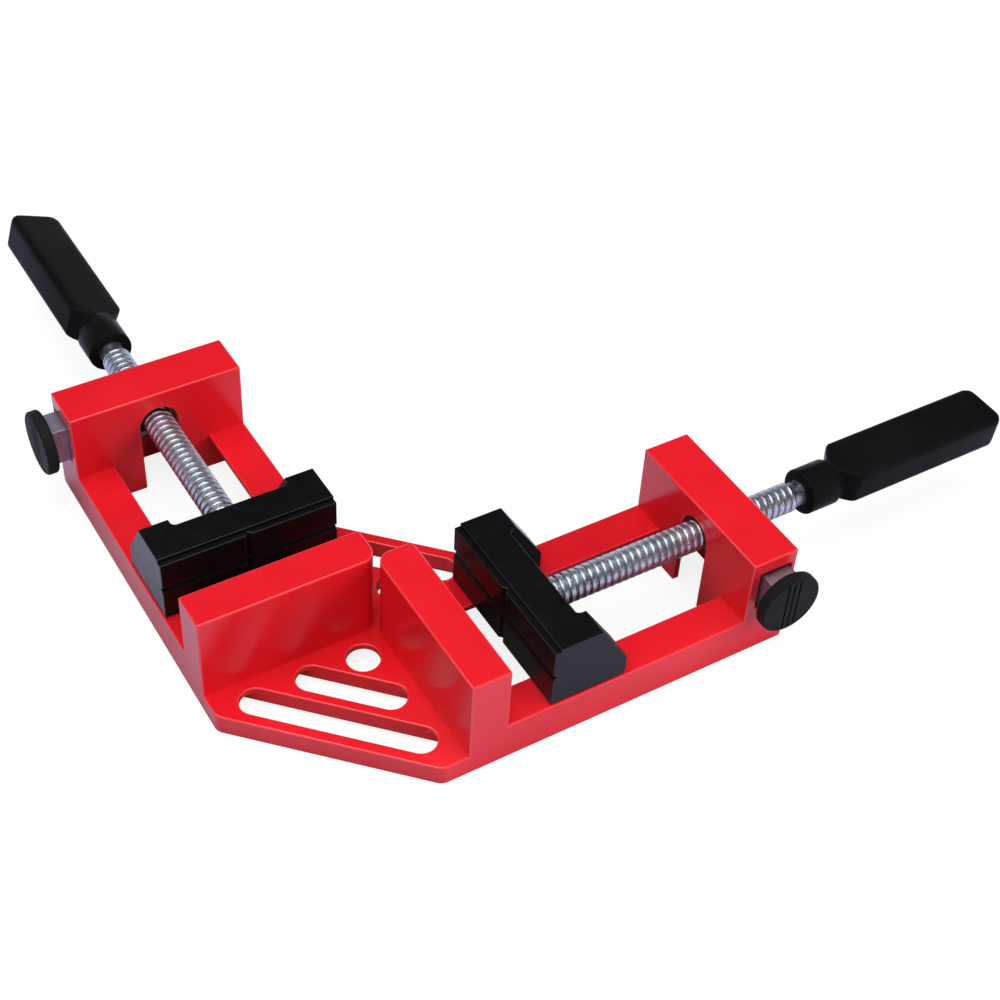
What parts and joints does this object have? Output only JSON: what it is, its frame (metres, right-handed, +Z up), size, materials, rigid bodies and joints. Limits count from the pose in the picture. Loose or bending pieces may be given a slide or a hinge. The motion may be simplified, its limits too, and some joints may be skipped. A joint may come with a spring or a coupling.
{
  "type": "corner clamp",
  "caption": "Right-angle corner clamp with a cast frame, square fixed jaws, screw-driven sliding jaws, paddle handles and sprung quick-release half nuts.",
  "frame": {"origin": "the square corner where the planes of the fixed clamping faces meet, on the bottom plane, which is the axis of the corner hole", "axes": "+X along the right arm towards its handle, +Y along the left arm towards its handle, +Z up"},
  "size_m": [0.336, 0.336, 0.046],
  "materials": {
    "red_paint": "gloss",
    "black_paint": "satin",
    "zinc_steel": "satin",
    "spring_steel": "satin",
    "zinc_alloy": "satin",
    "black_plastic": "satin",
    "cap_plastic": "satin"
  },
  "bodies": {
    "frame": {"frame_casting": "red_paint", "right_return_spring": "spring_steel", "left_return_spring": "spring_steel"},
    "right_jaw": {"right_moving_jaw": "black_paint", "right_keeper_plate": "zinc_steel", "right_keeper_screws": "zinc_steel"},
    "left_jaw": {"left_moving_jaw": "black_paint", "left_keeper_plate": "zinc_steel", "left_keeper_screws": "zinc_steel"},
    "right_spindle": {"right_spindle": "zinc_steel", "right_thrust_washer": "zinc_steel", "right_retaining_ring": "spring_steel", "right_handle": "black_plastic"},
    "left_spindle": {"left_spindle": "zinc_steel", "left_thrust_washer": "zinc_steel", "left_retaining_ring": "spring_steel", "left_handle": "black_plastic"},
    "right_button": {"right_half_nut": "zinc_alloy", "right_button_cap": "cap_plastic"},
    "left_button": {"left_half_nut": "zinc_alloy", "left_button_cap": "cap_plastic"}
  },
  "joints": [
    {"name": "right_jaw_slide", "type": "slide", "parent": "frame", "child": "right_jaw", "axis": [1, 0, 0], "range_m": [-0.0171, 0.0513]},
    {"name": "right_spindle_turn", "type": "hinge", "parent": "right_jaw", "child": "right_spindle", "pos_m": [0, -0.0487, 0.0311], "axis": [1, 0, 0], "range_deg": [-2060, 6165]},
    {"name": "right_button_press", "type": "slide", "parent": "frame", "child": "right_button", "axis": [0, 1, 0], "range_m": [0, 0.0035], "stiffness_N_per_m": 2500, "springref_m": -0.004, "deforming": ["right_return_spring"]},
    {"name": "left_jaw_slide", "type": "slide", "parent": "frame", "child": "left_jaw", "axis": [0, 1, 0], "range_m": [-0.0171, 0.0513]},
    {"name": "left_spindle_turn", "type": "hinge", "parent": "left_jaw", "child": "left_spindle", "pos_m": [-0.0487, 0, 0.0311], "axis": [0, 1, 0], "range_deg": [-2060, 6165]},
    {"name": "left_button_press", "type": "slide", "parent": "frame", "child": "left_button", "axis": [1, 0, 0], "range_m": [0, 0.0035], "stiffness_N_per_m": 2500, "springref_m": -0.004, "deforming": ["left_return_spring"]}
  ],
  "couplings": [
    {"joint": "right_spindle_turn", "follows": "right_jaw_slide", "rad_per_m": 2094.4},
    {"joint": "left_spindle_turn", "follows": "left_jaw_slide", "rad_per_m": 2094.4}
  ]
}
